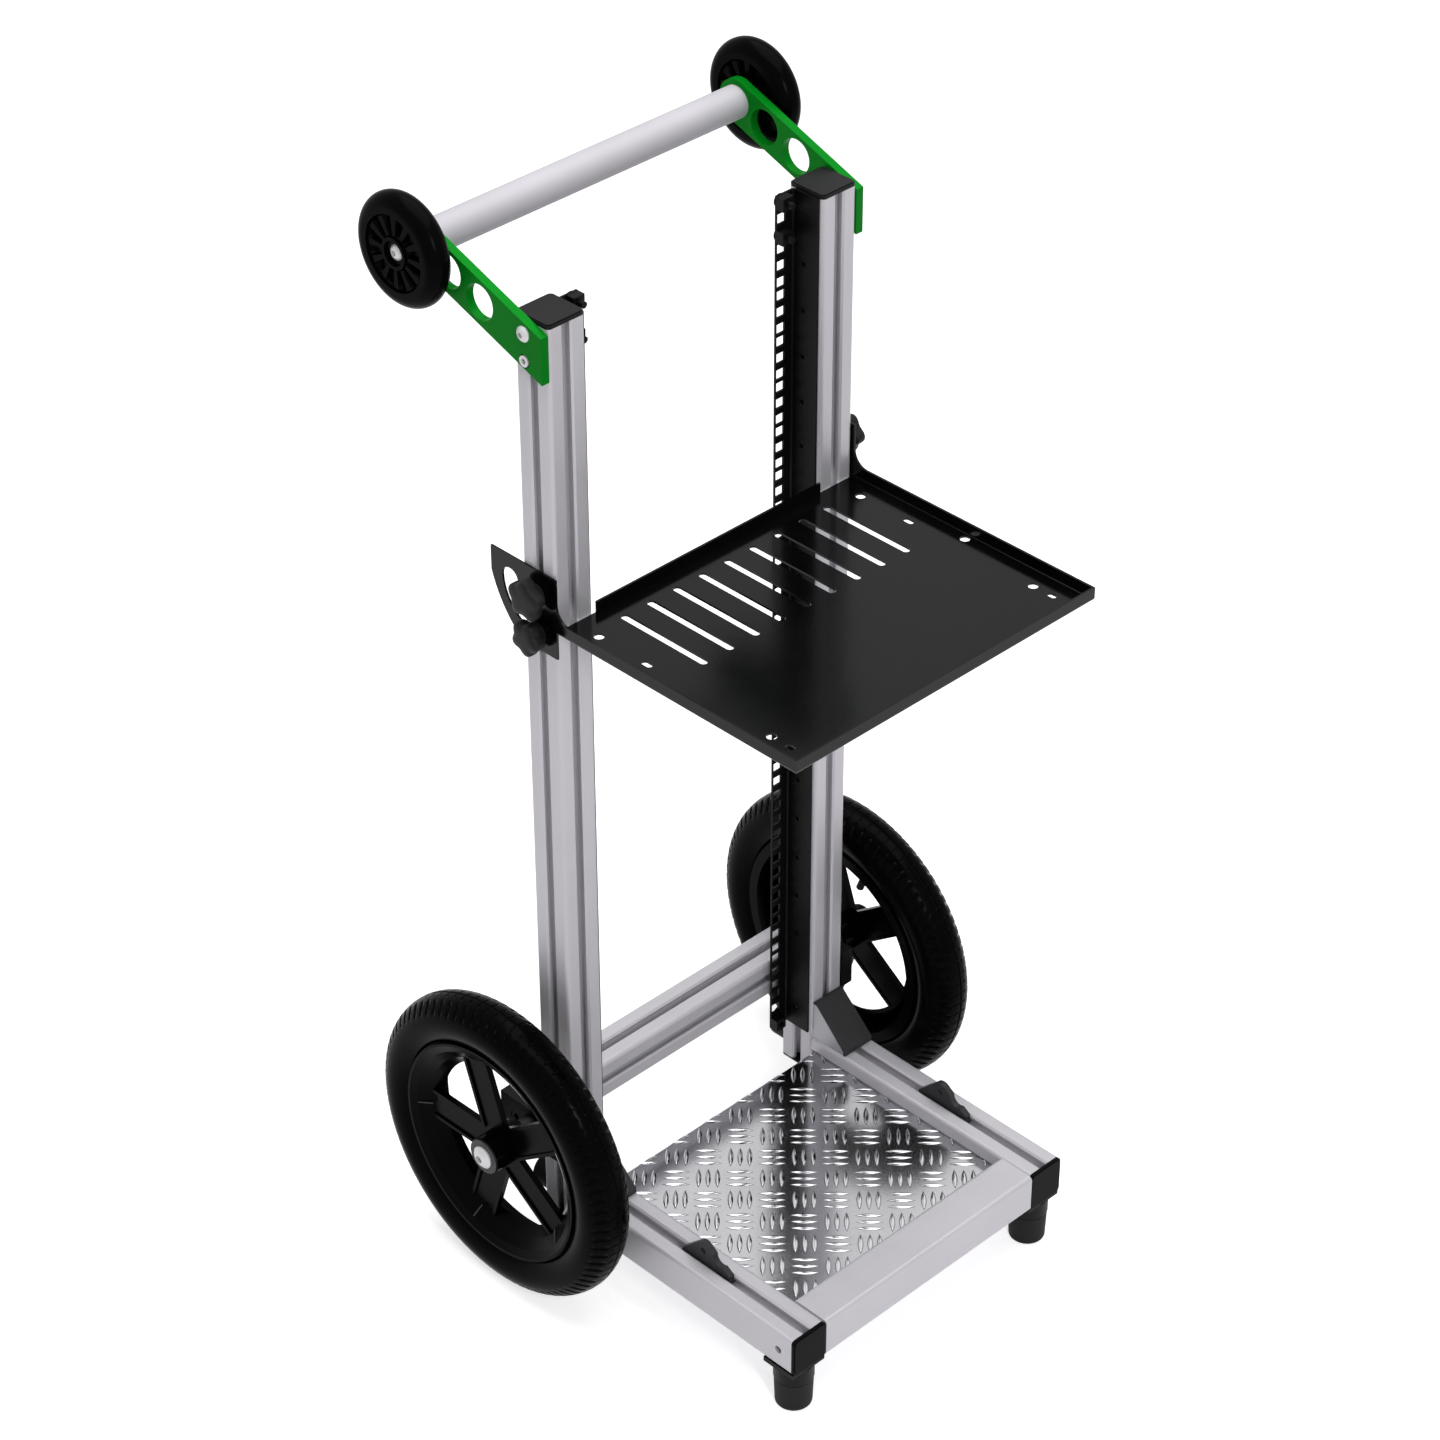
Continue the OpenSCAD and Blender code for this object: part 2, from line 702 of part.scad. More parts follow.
rack_screw_d = 6;
rack_screw_l = 16;
rack_nut_w = 12;
rack_nut_h = 8;

// Pan heads on the rear of the flange, shanks pointing forwards
module rack_screws() {
    color("#2C2C2E") cart() both() for (j = [-1, 1])
        translate([rack_hole_x, rack_back, unit_z(0) + j * rack_hole_step]) rotate(OUT_REAR)
            button_screw(rack_screw_d, rack_screw_l, 12.5, 4);
}

// Caged nuts in front of the flange: two hold screws, the lowest is free
module cage_nuts() {
    neck = rack_hole - 0.2;
    heights = [unit_z(0) + rack_hole_step, unit_z(0) - rack_hole_step, unit_z(rack_units - 1) - rack_hole_step];
    color("#3A3A3C") cart() both() for (z = heights)
        translate([rack_hole_x, rack_back, z]) rotate(OUT_REAR) difference() {
            union() {
                translate([-neck / 2, -neck / 2, -rack_t - 1]) cube([neck, neck, rack_t + 1 - 0.2]);
                translate([-rack_nut_w / 2, -rack_nut_w / 2, -rack_t - rack_nut_h])
                    cube([rack_nut_w, rack_nut_w, rack_nut_h]);
            }
            translate([0, 0, -rack_t - rack_nut_h - cut])
                cylinder(h = rack_t + rack_nut_h + 2 * cut, d = rack_screw_d + 2 * thread_gap);
        }
}

// Every nut that sits still in a slot
module slot_nuts() {
    screw_at = bracket_leg * 0.55;
    color("#8E8E92") cart() both() {
        translate([post_out, half, axle_z]) rotate(OUT_RIGHT) slot_nut(m8_d);
        translate([post_x, 0, rail_top + screw_at]) rotate(OUT_FRONT) slot_nut(m8_d);
        translate([post_x, -screw_at, rail_top]) slot_nut(m8_d);
        translate([post_x, crossbar_y, base_z]) rotate(OUT_DOWN) slot_nut(m8_d);
        translate([post_x, profile, rail_mid_z]) rotate(OUT_REAR) slot_nut(m8_d);
        translate([post_out, half, arm_screw_z]) rotate(OUT_RIGHT) slot_nut(m8_d);
        translate([post_out, half, arm_lock_z]) rotate(OUT_RIGHT) slot_nut(m6_d);
        for (k = rack_screw_units) translate([inner_w / 2, half, unit_z(k)]) rotate(OUT_LEFT) slot_nut(m4_d);
    }
}

// Five spokes: a star of flat webs with a rib along each edge
module spokes_star() {
    outer = well_r - rim_ring + 6;
    web_low = 2.6;
    rib_low = 1.5;
    rib_top = 7.6;
    rib_from = (spoke_w / 2) / tan(180 / spokes) - rim_wall;
    translate([0, 0, web_low]) linear_extrude(rim_wall - 1) for (k = [0:spokes - 1])
        rotate(k * 360 / spokes - 1) translate([hub_r - 4, -spoke_w / 2 + 1]) square([outer - hub_r + 3, spoke_w - 2]);
    for (k = [0:spokes - 1]) rotate(k * 360 / spokes - 1) for (e = [-1, 1])
        translate([0, e * (spoke_w - rim_wall + 0.6) / 2, 0]) rotate([90, 0, 0])
            translate([0, 0, -rim_wall / 2 + 0.3]) linear_extrude(rim_wall - 0.6)
                polygon([[rib_from, rib_low], [outer, rib_low + 0.2], [outer + 5, rib_top], [rib_from, rib_top]]);
}

module wheel_axis() { translate([wheel_x, axle_y, axle_z]) rotate(OUT_RIGHT) children(); }

// Moulded rim: well with flanges, dished ring, five spokes and a long hub
module rim(s) {
    lip = rim_w / 2;
    flange_r = well_r + rim_flange;
    ring_r = well_r - rim_ring;
    barrel = well_r - rim_wall;
    dish_low = -1;
    color("#17171A") cart() side(s) wheel_axis() difference() {
        union() {
            rotate_extrude() {
                polygon([
                    [ring_r, dish_low], [ring_r + 8, 8.3], [barrel + 0.5, lip - 3.5], [flange_r - 2.5, lip],
                    [flange_r, lip], [flange_r, lip - 3], [well_r, lip - 3], [well_r, 3 - lip], [flange_r, 3 - lip],
                    [flange_r, -lip], [barrel, -lip], [barrel, 10.6], [ring_r + 4.5, dish_low]
                ]);
                translate([0, -hub_in]) square([hub_r, hub_in + hub_out]);
            }
            spokes_star();
        }
        translate([0, 0, -hub_in - cut]) cylinder(h = hub_in + hub_out + 2 * cut, d = axle_d + 3);
        translate([0, 0, -hub_in - cut]) cylinder(h = bearing_w + cut, d = bearing_d);
        translate([0, 0, hub_out - bearing_w]) cylinder(h = bearing_w + cut, d = bearing_d);
        rotate(valve_turn) translate([barrel - 1, 0, valve_at]) rotate([0, 90, 0]) cylinder(h = 2 * rim_wall, d = valve_d);
    }
}

// Hollow tyre with two beads that sit in the rim's well
module tyre(s) {
    mid_r = wheel_d / 2 - tyre_w / 2;
    seat = rim_w / 2 - 3;
    color("#141416") cart() side(s) wheel_axis() rotate_extrude() {
        difference() {
            translate([mid_r, 0]) circle(tyre_w / 2);
            translate([mid_r, 0]) circle(tyre_w / 2 - tyre_wall);
            translate([well_r - cut, -tyre_w]) square([bead_h / 2 + cut, 2 * tyre_w]);
        }
        for (side_z = [-seat, seat - bead_w]) translate([well_r, side_z]) square([bead_h, bead_w]);
    }
}

module wheel_bearings(s) {
    bore = axle_d + 2 * turn_gap;
    color("#6E6E72") cart() side(s) wheel_axis() for (z = [-hub_in, hub_out - bearing_w])
        translate([0, 0, z]) rotate_extrude() difference() {
            translate([bore / 2, 0]) square([(bearing_d - bore) / 2, bearing_w]);
            translate([axle_d / 2 + 3, bearing_w - 0.6]) square([bearing_d / 2 - axle_d / 2 - 5, 1]);
            translate([axle_d / 2 + 3, -0.4]) square([bearing_d / 2 - axle_d / 2 - 5, 1]);
        }
}

// Rubber valve that points from the well towards the hub
module valve(s) {
    barrel = well_r - rim_wall;
    color("#101012") cart() side(s) wheel_axis() rotate(valve_turn) translate([barrel, 0, valve_at]) rotate([0, -90, 0]) {
        translate([0, 0, 0.3 - rim_wall]) cylinder(h = rim_wall + 0.2, d = valve_d);
        translate([0, 0, 0.4]) cylinder(h = 2, d = valve_d + 4);
        translate([0, 0, 2]) cylinder(h = 11, d1 = valve_d + 1, d2 = valve_d - 1);
        translate([0, 0, 13]) cylinder(h = 7, d = valve_d - 0.5);
    }
}

module axle_bolts() {
    head_x = hub_end + face_gap + washer_t;
    color("#C6C6CA") cart() both() translate([head_x, axle_y, axle_z]) rotate(OUT_RIGHT)
        button_screw(axle_d, head_x - post_out, axle_head_d, axle_head_h);
}

module axle_washers() {
    color("#3C3C3F") cart() both() translate([hub_end + face_gap, axle_y, axle_z]) rotate(OUT_RIGHT)
        difference() {
            cylinder(h = washer_t, d = washer_d);
            translate([0, 0, -cut]) cylinder(h = washer_t + 2 * cut, d = axle_d + hole_gap);
        }
}

module wheel_spacers() {
    color("#4A4A4D") cart() both() {
        translate([plate_out, axle_y, axle_z]) rotate(OUT_RIGHT) difference() {
            cylinder(h = spacer_l, d = 2 * axle_d);
            translate([0, 0, -cut]) cylinder(h = spacer_l + 2 * cut, d = axle_d + hole_gap);
        }
        translate([arm_out, bar_y, bar_z]) rotate(OUT_RIGHT) difference() {
            cylinder(h = caster_gap - face_gap, d = 2 * m8_d);
            translate([0, 0, -cut]) cylinder(h = caster_gap + 2 * cut, d = m8_d + hole_gap);
        }
    }
}

// Sloping plate from the post's side up to the handlebar's axis
module handle_plate(s) {
    axis = [bar_y, bar_z];
    dir = [-cos(arm_slope), -sin(arm_slope)];
    reach = bar_y / cos(arm_slope) + arm_w;
    edge = arm_w / 2 - 0.15;
    lock_depth = arm_t - 3;
    color("#17922C") cart() side(s) difference() {
        along_x(post_out, arm_t) difference() {
            union() {
                translate(axis) circle(d = arm_w);
                translate(axis) rotate(arm_slope) translate([-reach, -edge]) square([reach, 2 * edge]);
            }
            translate([-2 * reach, bar_z - 2 * reach]) square([2 * reach, 4 * reach]);
            translate(axis) circle(d = m8_d + hole_gap);
            for (d = [arm_hole_1, arm_hole_2]) translate(axis + d * dir) circle(d = arm_hole_d);
            translate([half, arm_screw_z]) circle(d = m8_d + hole_gap);
            translate([half, arm_lock_z]) circle(d = m6_d + hole_gap);
        }
        translate([arm_out - lock_depth, half, arm_lock_z]) rotate([0, 90, 0])
            cylinder(h = arm_t, d = m6_head_d + 2);
    }
}

module handle_tube() {
    color("#D0CED2") cart() translate([-post_out, bar_y, bar_z]) rotate(OUT_RIGHT) difference() {
        cylinder(h = 2 * post_out, d = bar_d);
        translate([0, 0, -cut]) cylinder(h = 2 * post_out + 2 * cut, d = bar_d - 2 * bar_wall);
    }
}

module tube_plugs() {
    color("#8A8A8E") cart() both() translate([post_out - plug_l, bar_y, bar_z]) rotate(OUT_RIGHT) difference() {
        cylinder(h = plug_l, d = bar_d - 2 * bar_wall);
        translate([0, 0, -cut]) cylinder(h = plug_l + 2 * cut, d = m8_d + 2 * thread_gap);
    }
}

caster_seat = caster_x + caster_w / 2 - caster_recess + face_gap;

module handle_bolts() {
    color("#C6C6CA") cart() both() translate([caster_seat, bar_y, bar_z]) rotate(OUT_RIGHT)
        button_screw(m8_d, caster_seat - post_out + plug_l - 4, m8_head_d, m8_head_h);
}

module handle_screws() {
    color("#C6C6CA") cart() both() translate([arm_out, half, arm_screw_z]) rotate(OUT_RIGHT)
        button_screw(m8_d, arm_t + slot_lip + nut_h, m8_head_d, m8_head_h);
}

module handle_lock_screws() {
    seat = arm_out - (arm_t - 3);
    color("#A8A8AC") cart() both() translate([seat, half, arm_lock_z]) rotate(OUT_RIGHT)
        cap_screw(m6_d, seat - post_out + slot_lip + nut_h, m6_head_d, m6_head_h);
}

module caster_axis() { translate([caster_x, bar_y, bar_z]) rotate(OUT_RIGHT) children(); }

// Solid wheel with a rounded tread and a dished face on each side
module handle_wheel(s) {
    r = caster_d / 2;
    w = caster_w / 2;
    tread_r = w;
    dish_r = 36;
    boss_r = caster_bearing_d / 2 + 3;
    web = 6;
    color("#1A1A1C") cart() side(s) caster_axis() difference() {
        rotate_extrude() {
            translate([0, -w]) square([r - tread_r, 2 * w]);
            translate([r - tread_r, 0]) circle(tread_r);
        }
        for (m = [0, 1]) mirror([0, 0, m]) translate([0, 0, web]) difference() {
            cylinder(h = w, r = dish_r);
            translate([0, 0, -cut]) cylinder(h = w + 2 * cut, r = boss_r);
        }
        translate([0, 0, -w - cut]) cylinder(h = 2 * w + 2 * cut, d = m8_d + 4);
        translate([0, 0, -w - cut]) cylinder(h = caster_bearing_w + cut, d = caster_bearing_d);
        translate([0, 0, w - caster_recess - caster_bearing_w])
            cylinder(h = caster_bearing_w + caster_recess + cut, d = caster_bearing_d);
    }
}

module handle_bearings(s) {
    bore = m8_d + 2 * turn_gap;
    w = caster_w / 2;
    color("#6E6E72") cart() side(s) caster_axis() for (z = [-w, w - caster_recess - caster_bearing_w])
        translate([0, 0, z]) difference() {
            cylinder(h = caster_bearing_w, d = caster_bearing_d);
            translate([0, 0, -cut]) cylinder(h = caster_bearing_w + 2 * cut, d = bore);
        }
}

// Rectangle with its lower corners rounded, used for the tray's folded section
module folded(x0, x1, y0, y1, r, r_left) {
    translate([x0, y0 + r]) square([x1 - x0, y1 - y0 - r]);
    translate([x0 + (r_left ? r : 0), y0]) square([x1 - x0 - r - (r_left ? r : 0), y1 - y0]);
    translate([x1 - r, y0 + r]) circle(r);
    if (r_left) translate([x0 + r, y0 + r]) circle(r);
}

module tray_block(inset, back) {
    r = tray_bend - inset;
    top = tray_z + tray_h + (inset > 0 ? cut : 0);
    intersection() {
        translate([0, back, 0]) rotate([90, 0, 0]) linear_extrude(back - tray_front - inset)
            folded(-tray_side + inset, tray_side - inset, tray_z + inset, top, r, true);
        translate([-tray_side, 0, 0]) rotate(OUT_RIGHT) linear_extrude(2 * tray_side) mirror([1, 0])
            folded(-back - 1, -tray_front - inset, tray_z + inset, top, r, false);
    }
}

// Outline of an ear in Y and Z about the tilt axis, joined to the tray's side edge
module ear_outline() {
    front = ear_front - half;
    edge_top = tray_h - tray_drop;
    arc_c = [-51, 30];
    arc_r = 112;
    difference() {
        union() {
            intersection() {
                translate([front, -ear_down]) square([ear_back - front, ear_down + ear_up]);
                union() {
                    translate(arc_c) circle(arc_r);
                    translate([front, 0]) square([ear_back - front, ear_up]);
                }
            }
            translate([front - ear_fillet, edge_top - tray_h + tray_bend])
                square([ear_fillet + cut, tray_h - tray_bend + ear_fillet]);
        }
        translate([front - ear_fillet, edge_top + ear_fillet]) circle(ear_fillet);
        circle(d = stud_d + 2 * stud_gap);
        difference() {
            circle(swing_r + swing_w / 2);
            circle(swing_r - swing_w / 2);
            translate([-2 * swing_r, -2 * swing_r]) square([2 * swing_r, 4 * swing_r]);
            translate([-cut, 0]) square([2 * swing_r, 2 * swing_r]);
        }
        translate([0, -swing_r]) circle(d = swing_w);
        translate([swing_r - swing_hole_d / 2 + swing_w / 2, 0]) circle(d = swing_hole_d);
    }
}

module long_hole(x, y, w, len) {
    translate([x, y, tray_z - cut]) linear_extrude(tray_t + 2 * cut) {
        square([w, len - w], center = true);
        for (s = [-1, 1]) translate([0, s * (len - w) / 2]) circle(d = w);
    }
}

// Folded sheet tray with raised edges and an ear beside each post
module shelf_tray() {
    notch_x = inner_w / 2 - 2;
    rear_hole_y = tray_back - tray_hole_back;
    vent_y = tray_back - vent_back - vent_l / 2;
    side_hole_x = tray_side - 8.5;
    color("#111113") cart() difference() {
        union() {
            difference() {
                tray_block(0, tray_back);
                tray_block(tray_t, tray_back - tray_t);
                for (s = [-1, 1]) translate([s * (notch_x + tray_side - tray_t) / 2, tray_back, tray_z + tray_h])
                    cube([tray_side - tray_t - notch_x, 2 * tray_t + 2, 2 * (tray_h - tray_t)], center = true);
            }
            both() along_x(ear_in, tray_t) translate([half, tray_axis_z]) ear_outline();
        }
        for (k = [0:vents - 1]) long_hole((k - (vents - 1) / 2) * vent_pitch, vent_y, vent_w, vent_l);
        for (s = [-1, 1]) {
            for (y = [rear_hole_y, rear_hole_y - tray_hole_pitch]) translate([s * tray_hole_x, y, tray_z - cut])
                cylinder(h = tray_t + 2 * cut, d = tray_hole_d);
            translate([s * side_hole_x, tray_back - tray_d / 2, tray_z - cut])
                cylinder(h = tray_t + 2 * cut, d = tray_hole_d);
            long_hole(s * tray_hole_x, rear_hole_y - rear_slot_step, 6, 11);
            long_hole(s * tray_hole_x, rear_hole_y - tray_hole_pitch - front_slot_step, 5.5, 9);
        }
    }
}

// T bolts that slide in the posts' outer slots, two on each side
module shelf_studs() {
    head_w = slot_cavity_w - 1.6;
    head_h = 4.6;
    lip_gap = 0.3;
    neck = slot_lip + lip_gap + stud_len;
    color("#9A9A9E") cart() both() for (z = [tray_axis_z, lower_z]) translate([post_out, half, z]) rotate(OUT_RIGHT) {
        translate([0, 0, -slot_lip - lip_gap]) cylinder(h = neck, d = stud_d);
        translate([-head_w / 2, -7, -slot_lip - lip_gap - head_h]) difference() {
            cube([head_w, 14, head_h]);
            for (x = [0, head_w]) translate([x, 7, 0]) rotate([0, 45, 0]) cube([6, 16, 6], center = true);
        }
    }
}

// Star knob: a collar that presses on the ear and a lobed grip
module star_knob(s, z, d, turn) {
    lobe_at = d / 2 - knob_lobe_r;
    body_r = d / 2 - 0.75 * knob_lobe_r;
    edge = 1.5;
    bore = stud_d + 2 * stud_gap;
    color("#242427") cart() side(s) translate([knob_x, half, z]) rotate(OUT_RIGHT) difference() {
        union() {
            cylinder(h = knob_hub_h + cut, d = knob_hub_d);
            translate([0, 0, knob_hub_h]) {
                cylinder(h = knob_t - edge, r = body_r);
                translate([0, 0, knob_t - edge]) cylinder(h = edge, r1 = body_r, r2 = body_r - edge);
                for (k = [0:knob_lobes - 1]) rotate(turn + k * 360 / knob_lobes) translate([lobe_at, 0, 0]) {
                    cylinder(h = knob_t - edge, r = knob_lobe_r);
                    translate([0, 0, knob_t - edge]) cylinder(h = edge, r1 = knob_lobe_r, r2 = knob_lobe_r - edge);
                }
            }
        }
        translate([0, 0, -cut]) cylinder(h = knob_hub_h + knob_t - 2 + cut, d = bore);
    }
}

post(LEFT);  // post_left
post(RIGHT);  // post_right
post_top_caps();
post_bottom_caps();
side_rail(LEFT);  // side_rail_left
side_rail(RIGHT);  // side_rail_right
rail_end_caps();
front_crossbar();
crossbar_screws();
deck_plate();
deck_gaskets();
cross_rail();
axle_plate(LEFT);  // axle_plate_left
axle_plate(RIGHT);  // axle_plate_right
axle_plate_screws();
corner_bracket(LEFT);  // corner_bracket_left
corner_bracket(RIGHT);  // corner_bracket_right
bracket_covers();
bracket_screws();
tie_down_lugs();
foot_plates();
foot_collars();
foot_rubbers();
foot_screws();
rear_bumpers();
bumper_screws();
rack_rail(LEFT);  // rack_rail_left
rack_rail(RIGHT);  // rack_rail_right
rack_rail_screws();
rack_screws();
cage_nuts();
slot_nuts();
rim(LEFT);  // rim_left
rim(RIGHT);  // rim_right
tyre(LEFT);  // tyre_left
tyre(RIGHT);  // tyre_right
wheel_bearings(LEFT);  // wheel_bearings_left
wheel_bearings(RIGHT);  // wheel_bearings_right
valve(LEFT);  // valve_left
valve(RIGHT);  // valve_right
axle_bolts();
axle_washers();
wheel_spacers();
handle_plate(LEFT);  // handle_plate_left
handle_plate(RIGHT);  // handle_plate_right
handle_tube();
tube_plugs();
handle_bolts();
handle_screws();
handle_lock_screws();
handle_wheel(LEFT);  // handle_wheel_left
handle_wheel(RIGHT);  // handle_wheel_right
handle_bearings(LEFT);  // handle_bearings_left
handle_bearings(RIGHT);  // handle_bearings_right
shelf_tray();
shelf_studs();
star_knob(LEFT, tray_axis_z, knob_upper_d, 20);  // knob_upper_left
star_knob(LEFT, lower_z, knob_lower_d, 44);  // knob_lower_left
star_knob(RIGHT, tray_axis_z, knob_upper_d, 35);  // knob_upper_right
star_knob(RIGHT, lower_z, knob_lower_d, 10);  // knob_lower_right
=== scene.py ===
"""An upright sound cart for film work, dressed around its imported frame.

Slotted aluminium posts stand on a low deck with two spoked wheels. Black rack rails, a folded
sheet tray on star knobs and a handlebar between green plates are fixed to the posts.
"""
import math

import bpy
import numpy as np
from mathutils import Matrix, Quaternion, Vector


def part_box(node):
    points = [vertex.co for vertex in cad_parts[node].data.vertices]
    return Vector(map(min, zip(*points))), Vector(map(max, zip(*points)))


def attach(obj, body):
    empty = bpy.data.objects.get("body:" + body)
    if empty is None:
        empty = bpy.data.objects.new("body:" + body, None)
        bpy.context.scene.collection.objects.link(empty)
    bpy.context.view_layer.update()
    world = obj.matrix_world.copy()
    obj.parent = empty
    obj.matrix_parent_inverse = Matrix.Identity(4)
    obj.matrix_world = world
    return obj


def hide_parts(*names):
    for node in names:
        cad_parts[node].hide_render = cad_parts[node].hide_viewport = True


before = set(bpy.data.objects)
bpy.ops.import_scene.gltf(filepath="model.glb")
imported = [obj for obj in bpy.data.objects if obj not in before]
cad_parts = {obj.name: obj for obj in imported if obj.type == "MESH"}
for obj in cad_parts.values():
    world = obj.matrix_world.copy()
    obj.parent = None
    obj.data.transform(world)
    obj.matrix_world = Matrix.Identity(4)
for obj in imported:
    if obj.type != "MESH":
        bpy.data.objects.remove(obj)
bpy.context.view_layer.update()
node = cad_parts
mm = 0.001

# Studio: a camera that looks down on the cart from its left front corner, one large soft lamp
# above, a narrow strip lamp at the left front, and a pale matt floor that keeps the shadow. To
# the camera and in reflections the background is plain white.
bpy.context.scene.view_settings.view_transform = "Standard"
camera_at = np.array((-2018.1, -2026.5, 2557.1)) * mm
camera_azimuth = math.radians(-44.447)
camera_elevation = math.radians(35.043)
camera_roll = math.radians(-0.146)
picture_px = 1440
focal_px = 4047.8

camera = bpy.data.objects.new("camera", bpy.data.cameras.new("camera"))
bpy.context.scene.collection.objects.link(camera)
bpy.context.scene.camera = camera
camera.data.lens = camera.data.sensor_width * focal_px / picture_px
camera.data.clip_start = 0.1
camera.data.clip_end = 50
view_back = Vector((
    math.sin(camera_azimuth) * math.cos(camera_elevation),
    -math.cos(camera_azimuth) * math.cos(camera_elevation),
    math.sin(camera_elevation)))
camera.location = camera_at
camera.rotation_mode = "QUATERNION"
turned = (-view_back).to_track_quat("-Z", "Y")
camera.rotation_quaternion = turned @ Quaternion((0, 0, 1), camera_roll)


def linear(hex_colour):
    """Linear RGBA of an sRGB colour written as #rrggbb, by the sRGB curve."""
    parts = np.array([int(hex_colour[i:i + 2], 16) for i in (1, 3, 5)]) / 255
    low = parts / 12.92
    high = ((parts + 0.055) / 1.055) ** 2.4
    return (*np.where(parts <= 0.04045, low, high), 1.0)


def add(tree, kind, settings=None, **inputs):
    """Adds a node, sets its attributes, then its inputs, which go by name, or by number as _0.
    An input is a value, or a pair of a node and its output to link."""
    made = tree.nodes.new(kind)
    for name, value in (settings or {}).items():
        setattr(made, name, value)
    for name, value in inputs.items():
        socket = made.inputs[int(name[1:]) if name[1:].isdigit() else name.replace("_", " ")]
        if isinstance(value, tuple) and isinstance(value[0], bpy.types.Node):
            tree.links.new(value[0].outputs[value[1]], socket)
        else:
            socket.default_value = value
    return made


def new_material(name, **sockets):
    """A named material with its shader's sockets set, and with it its tree and its shader."""
    made = bpy.data.materials.new(name)
    made.use_nodes = True
    shader = made.node_tree.nodes["Principled BSDF"]
    for socket, value in sockets.items():
        shader.inputs[socket.replace("_", " ")].default_value = value
    return made, made.node_tree, shader


def seen(tree):
    """1 on a ray from the camera, a reflection or glass, and 0 on one that lights the cart."""
    path = add(tree, "ShaderNodeLightPath")
    share = (path, "Is Camera Ray")
    for ray in ("Is Glossy Ray", "Is Transmission Ray"):
        either = add(tree, "ShaderNodeMath", {"operation": "MAXIMUM"}, _0=share, _1=(path, ray))
        share = (either, 0)
    return share


world = bpy.data.worlds.new("studio")
bpy.context.scene.world = world
world.use_nodes = True
sky = world.node_tree
sky_strength = 0.25
sky_light = sky.nodes["Background"]
sky_light.inputs["Color"].default_value = linear("#f4f3f6")
sky_light.inputs["Strength"].default_value = sky_strength
sky_seen = add(sky, "ShaderNodeBackground", Color=linear("#ffffff"), Strength=1.0)
sky_mix = add(sky, "ShaderNodeMixShader", _0=seen(sky), _1=(sky_light, 0), _2=(sky_seen, 0))
sky.links.new(sky_mix.outputs[0], sky.nodes["World Output"].inputs["Surface"])

lamp_aim = Vector((0, 0, 0.5))
lamps = (("top", (0.2, 0.1, 3.2), (3.0, 3.0), 84),
         ("strip", (-1.15, -2.3, 2.1), (0.14, 0.8), 21))
for name, place, size, watts in lamps:
    lamp = bpy.data.objects.new("lamp_" + name, bpy.data.lights.new("lamp_" + name, "AREA"))
    lamp.data.shape = "RECTANGLE"
    lamp.data.size, lamp.data.size_y = size
    lamp.data.energy = watts
    lamp.location = place
    lamp.rotation_euler = (lamp_aim - Vector(place)).to_track_quat("-Z", "Y").to_euler()
    bpy.context.scene.collection.objects.link(lamp)

sharp_angle = math.radians(38)


def mesh_piece(name, points, faces, material, body, slot, smooth=True):
    """A mesh object from points in metres and faces, with one material, on a body. A smooth one
    stays sharp at edges of more than the sharp angle."""
    data = bpy.data.meshes.new(name)
    data.from_pydata(np.asarray(points, float).tolist(), [], [list(map(int, f)) for f in faces])
    data.update()
    data.polygons.foreach_set("use_smooth", [smooth] * len(data.polygons))
    if smooth:
        data.set_sharp_from_angle(angle=sharp_angle)
    data.materials.append(material)
    made = bpy.data.objects.new(name, data)
    bpy.context.scene.collection.objects.link(made)
    if body:
        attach(made, body)
    return made


floor_half = 9.0
floor_glow = 0.66
paper, tree, shader = new_material("pale_floor", Roughness=0.9, Base_Color=linear("#efeef0"))
shine = add(tree, "ShaderNodeEmission", Color=linear("#ffffff"), Strength=floor_glow)
lit = add(tree, "ShaderNodeMixShader", _0=seen(tree), _2=(shine, 0))
both = add(tree, "ShaderNodeAddShader", _0=(shader, 0), _1=(lit, 0))
tree.links.new(both.outputs[0], tree.nodes["Material Output"].inputs["Surface"])
corners = np.array(((-1, -1, 0), (1, -1, 0), (1, 1, 0), (-1, 1, 0))) * floor_half
floor = mesh_piece("floor", corners, [(0, 1, 2, 3)], paper, None, None, smooth=False)

# Profiles: extruded aluminium with a satin silver anodising, screwed and bracketed together. The
# die leaves fine lines along each length, and the film scatters light, so the surface is pale
# and soft.
cloud_size = 90 * mm
grain_share = 0.5
noise_low = 0.45
noise_high = 1.05
bump_strength = 0.6
drawn_out = 0.02


